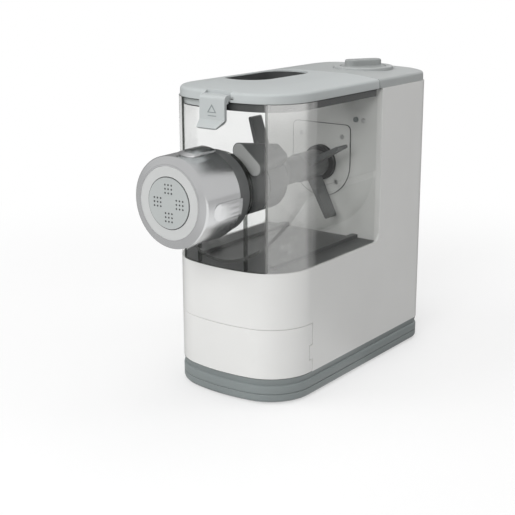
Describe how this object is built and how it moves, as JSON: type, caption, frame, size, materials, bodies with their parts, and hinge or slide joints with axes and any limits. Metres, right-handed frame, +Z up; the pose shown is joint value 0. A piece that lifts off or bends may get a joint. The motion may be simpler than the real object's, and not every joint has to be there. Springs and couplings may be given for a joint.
{
  "type": "electric pasta maker",
  "caption": "Upright electric pasta maker with a clear mixing chamber, a steel-ringed extrusion nozzle, a latched lid with a pouring slot, a top dial and a base drawer.",
  "frame": {"origin": "on the table under the middle of the overall outline", "axes": "+Z up, -Y the way the nozzle points, +X to the right seen from the front"},
  "size_m": [0.133, 0.3164, 0.2843],
  "materials": {
    "gloss_white": "glossy moulded plastic",
    "light_grey": "satin moulded plastic",
    "base_grey": "satin moulded plastic",
    "dark_grey": "satin moulded plastic",
    "paddle_grey": "satin moulded plastic",
    "gear_plastic": "natural acetal",
    "clear_smoke": "clear, slightly smoky plastic",
    "board": "coated circuit board",
    "rubber": "black rubber",
    "brushed_steel": "stainless steel, turned finish",
    "polished_steel": "ground steel",
    "motor_iron": "lacquered laminations"
  },
  "bodies": {
    "housing": {"base_tray": "base_grey", "rubber_foot_1": "rubber", "rubber_foot_2": "rubber", "rubber_foot_3": "rubber", "rubber_foot_4": "rubber", "lower_shell": "gloss_white", "tower_shell": "gloss_white", "drawer_bay": "base_grey", "deck_plate": "dark_grey", "gear_cover_plate": "gloss_white", "drive_seal": "rubber", "gear_case": "base_grey", "gear_case_cover": "base_grey", "idler_axle": "polished_steel", "motor_can": "polished_steel", "motor_magnets": "motor_iron", "interlock_switch": "dark_grey", "control_board": "board", "cord_gland": "rubber", "tower_cap": "light_grey", "dial_bezel": "light_grey", "rotary_switch": "dark_grey"},
    "output": {"output_gear": "gear_plastic", "output_shaft": "polished_steel", "drive_coupling": "rubber"},
    "idler": {"idler_gear": "gear_plastic"},
    "motor": {"motor_rotor": "motor_iron", "motor_pinion": "polished_steel"},
    "interlock": {"interlock_pin": "dark_grey"},
    "dial": {"dial_knob": "light_grey"},
    "drawer": {"drawer_front": "gloss_white", "drawer_tray": "dark_grey"},
    "chamber": {"chamber_cup": "clear_smoke", "shaft_seal": "rubber", "front_panel": "clear_smoke", "extrusion_tube": "dark_grey", "shaping_disc": "light_grey", "die_insert": "light_grey"},
    "paddle": {"mixing_paddle": "paddle_grey", "auger_screw": "paddle_grey", "auger_pin": "polished_steel"},
    "ring": {"tightening_ring": "brushed_steel"},
    "lid": {"lid_cover": "light_grey", "lid_rim": "dark_grey", "latch_pin": "polished_steel"},
    "latch": {"latch_clip": "light_grey"}
  },
  "joints": [
    {"name": "output_turn", "type": "hinge", "parent": "housing", "child": "output", "pos_m": [0, 0.0782, 0.1888], "axis": [0, -1, 0], "continuous": true},
    {"name": "idler_turn", "type": "hinge", "parent": "housing", "child": "idler", "pos_m": [0, 0.0782, 0.1438], "axis": [0, -1, 0], "continuous": true},
    {"name": "motor_turn", "type": "hinge", "parent": "housing", "child": "motor", "pos_m": [0, 0.1182, 0.1088], "axis": [0, -1, 0], "continuous": true},
    {"name": "interlock_press", "type": "slide", "parent": "housing", "child": "interlock", "axis": [0, 1, 0], "range_m": [0, 0.002], "stiffness_N_per_m": 300},
    {"name": "dial_turn", "type": "hinge", "parent": "housing", "child": "dial", "pos_m": [0.015, 0.1142, 0.2768], "axis": [0, 0, 1], "range_deg": [-60, 60]},
    {"name": "drawer_slide", "type": "slide", "parent": "housing", "child": "drawer", "axis": [0, -1, 0], "range_m": [0, 0.09]},
    {"name": "chamber_slide", "type": "slide", "parent": "housing", "child": "chamber", "axis": [0, -1, 0], "range_m": [0, 0.06]},
    {"name": "paddle_turn", "type": "hinge", "parent": "chamber", "child": "paddle", "pos_m": [0, -0.0118, 0.1888], "axis": [0, -1, 0], "continuous": true},
    {"name": "ring_turn", "type": "hinge", "parent": "chamber", "child": "ring", "pos_m": [0, -0.1318, 0.1888], "axis": [0, -1, 0], "range_deg": [0, 60]},
    {"name": "lid_lift", "type": "slide", "parent": "chamber", "child": "lid", "axis": [0, 0, 1], "range_m": [0, 0.05]},
    {"name": "latch_swing", "type": "hinge", "parent": "lid", "child": "latch", "pos_m": [0, -0.0911, 0.2678], "axis": [-1, 0, 0], "range_deg": [0, 95]}
  ],
  "couplings": [
    {"joint": "idler_turn", "follows": "output_turn", "ratio": -5},
    {"joint": "motor_turn", "follows": "output_turn", "ratio": 30},
    {"joint": "paddle_turn", "follows": "output_turn", "ratio": 1}
  ]
}
